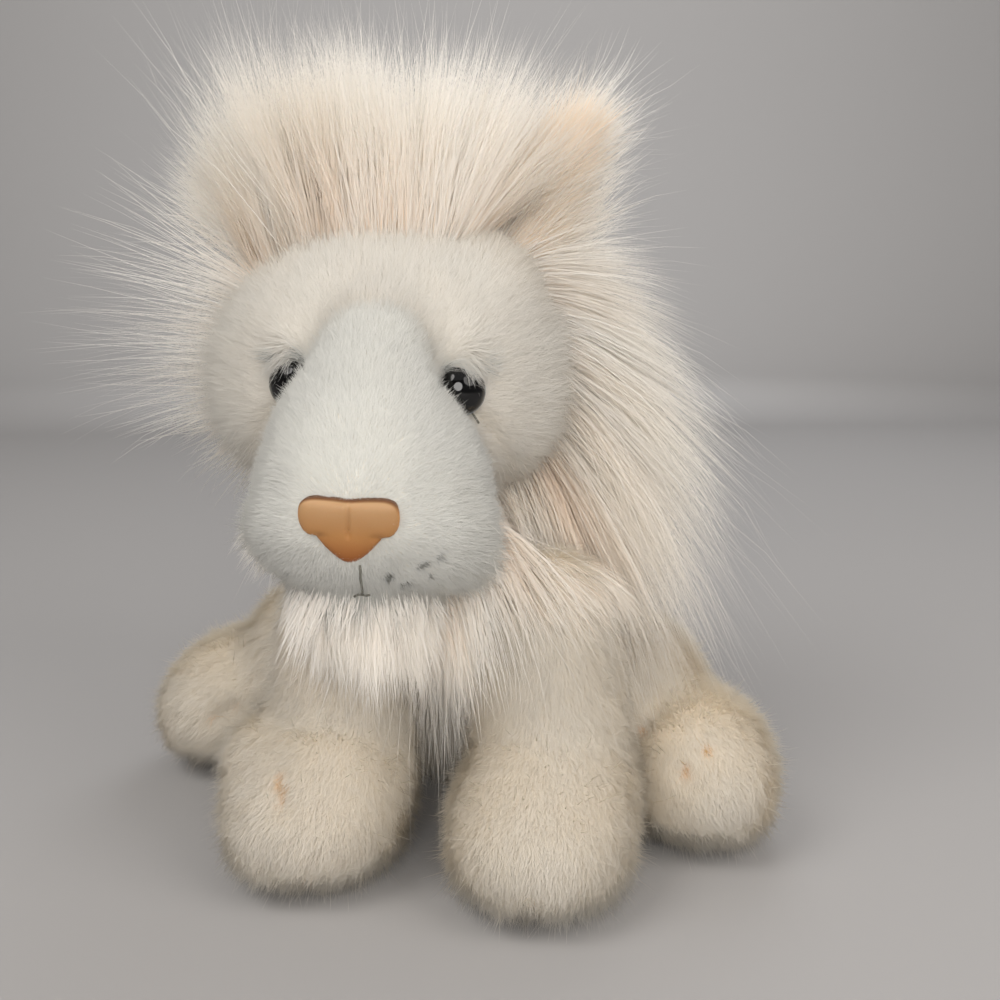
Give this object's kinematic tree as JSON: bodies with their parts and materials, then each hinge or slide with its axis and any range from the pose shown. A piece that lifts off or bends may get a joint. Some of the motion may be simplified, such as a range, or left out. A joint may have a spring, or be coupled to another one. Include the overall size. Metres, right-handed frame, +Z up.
{
  "type": "plush lion",
  "caption": "Sitting plush lion with a long-haired mane, moulded eyes and nose, large paws, a weighted seat and a tail that swings at its root.",
  "frame": {"origin": "centre of the flat underside of the seat panel, on the surface that the toy sits on", "axes": "+Z up; the lion faces -Y; +X is the lion's own left side"},
  "size_m": [0.2419, 0.3673, 0.2536],
  "materials": {
    "cream_plush": "matte short pile",
    "white_plush": "matte short pile",
    "mane_hair": "long soft hair with a slight sheen",
    "filling": "matte fibre",
    "pouch_cloth": "matte plain weave",
    "eye_plastic": "polished",
    "nose_plastic": "soft satin",
    "washer_plastic": "moulded"
  },
  "bodies": {
    "lion": {"torso_skin": "cream_plush", "torso_filling": "filling", "pellet_pouch": "pouch_cloth", "seat_panel": "cream_plush", "head_skin": "white_plush", "head_filling": "filling", "eye_left": "eye_plastic", "eye_washer_left": "washer_plastic", "eye_right": "eye_plastic", "eye_washer_right": "washer_plastic", "nose": "nose_plastic", "nose_washer": "washer_plastic", "muzzle": "white_plush", "chin": "white_plush", "ear_left": "mane_hair", "ear_right": "mane_hair", "front_leg_left": "cream_plush", "front_leg_left_sole": "white_plush", "hind_leg_left": "cream_plush", "hind_leg_left_sole": "white_plush", "front_leg_right": "cream_plush", "front_leg_right_sole": "white_plush", "hind_leg_right": "cream_plush", "hind_leg_right_sole": "white_plush", "mane_crown": "mane_hair", "mane_left": "mane_hair", "mane_right": "mane_hair", "mane_nape": "mane_hair", "chest_bib": "mane_hair"},
    "tail": {"tail": "cream_plush", "tail_tuft": "mane_hair"}
  },
  "joints": [
    {"name": "tail_swing", "type": "hinge", "parent": "lion", "child": "tail", "pos_m": [0, 0.04716, 0.024], "axis": [0, 0, 1], "range_deg": [-35, 35]}
  ]
}
